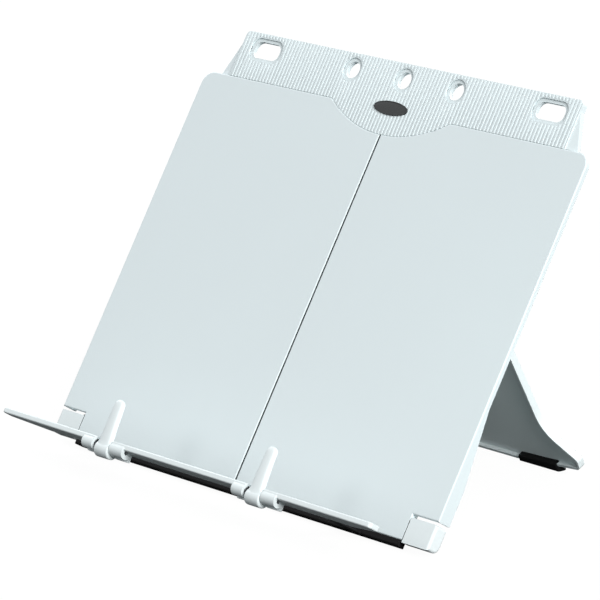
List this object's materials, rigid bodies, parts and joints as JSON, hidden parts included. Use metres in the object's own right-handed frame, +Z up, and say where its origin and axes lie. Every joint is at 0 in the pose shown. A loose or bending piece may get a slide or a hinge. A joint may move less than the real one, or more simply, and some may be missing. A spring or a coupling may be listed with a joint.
{
  "type": "book and document stand",
  "caption": "Desk stand that leans an open book or document back on a folding leg, with a pull-out ledge and sprung page clips.",
  "frame": {"origin": "on the desk, under the middle of the stand's overall box with the leg open and the ledge out", "axes": "+Z up, +X to the reader's right, +Y away from the reader, so the board's face looks towards -Y and up"},
  "size_m": [0.312, 0.219, 0.2241],
  "materials": {
    "panel_plastic": "moulded plastic with a fine satin surface, cool light grey",
    "frame_plastic": "moulded plastic, satin, cool light grey",
    "rail_plastic": "moulded plastic, satin, near white",
    "badge_plastic": "bare dark oval, glossy",
    "black_rubber": "matt black rubber",
    "black_steel": "black coated strip steel",
    "bright_steel": "zinc plated steel",
    "spring_steel": "oiled spring steel wire"
  },
  "bodies": {
    "stand": {"rear_frame": "frame_plastic", "left_panel": "panel_plastic", "right_panel": "panel_plastic", "head_plate": "panel_plastic", "badge": "badge_plastic", "base_rail": "rail_plastic", "front_rubber_bar": "black_rubber", "left_slide_arm": "black_steel", "right_slide_arm": "black_steel", "left_hinge_pin": "bright_steel", "right_hinge_pin": "bright_steel", "panel_screws": "bright_steel", "rail_screws": "bright_steel", "arm_screws": "bright_steel"},
    "leg": {"leg": "frame_plastic", "left_foot": "black_rubber", "right_foot": "black_rubber"},
    "ledge": {"ledge": "rail_plastic", "left_clip_pin": "bright_steel", "right_clip_pin": "bright_steel", "left_clip_spring": "spring_steel", "right_clip_spring": "spring_steel"},
    "left_clip": {"left_clip": "rail_plastic"},
    "right_clip": {"right_clip": "rail_plastic"}
  },
  "joints": [
    {"name": "leg_hinge", "type": "hinge", "parent": "stand", "child": "leg", "pos_m": [0, 0.03207, 0.14227], "axis": [-1, 0, 0], "range_deg": [0, 59]},
    {"name": "ledge_slide", "type": "slide", "parent": "stand", "child": "ledge", "axis": [0, -0.8572, 0.515], "range_m": [-0.0095, 0]},
    {"name": "left_clip_hinge", "type": "hinge", "parent": "ledge", "child": "left_clip", "pos_m": [-0.063, -0.10334, 0.02274], "axis": [1, 0, 0], "range_deg": [0, 70], "stiffness_Nm_per_rad": 0.05, "springref_deg": -11.46},
    {"name": "right_clip_hinge", "type": "hinge", "parent": "ledge", "child": "right_clip", "pos_m": [0.063, -0.10334, 0.02274], "axis": [1, 0, 0], "range_deg": [0, 70], "stiffness_Nm_per_rad": 0.05, "springref_deg": -11.46}
  ]
}
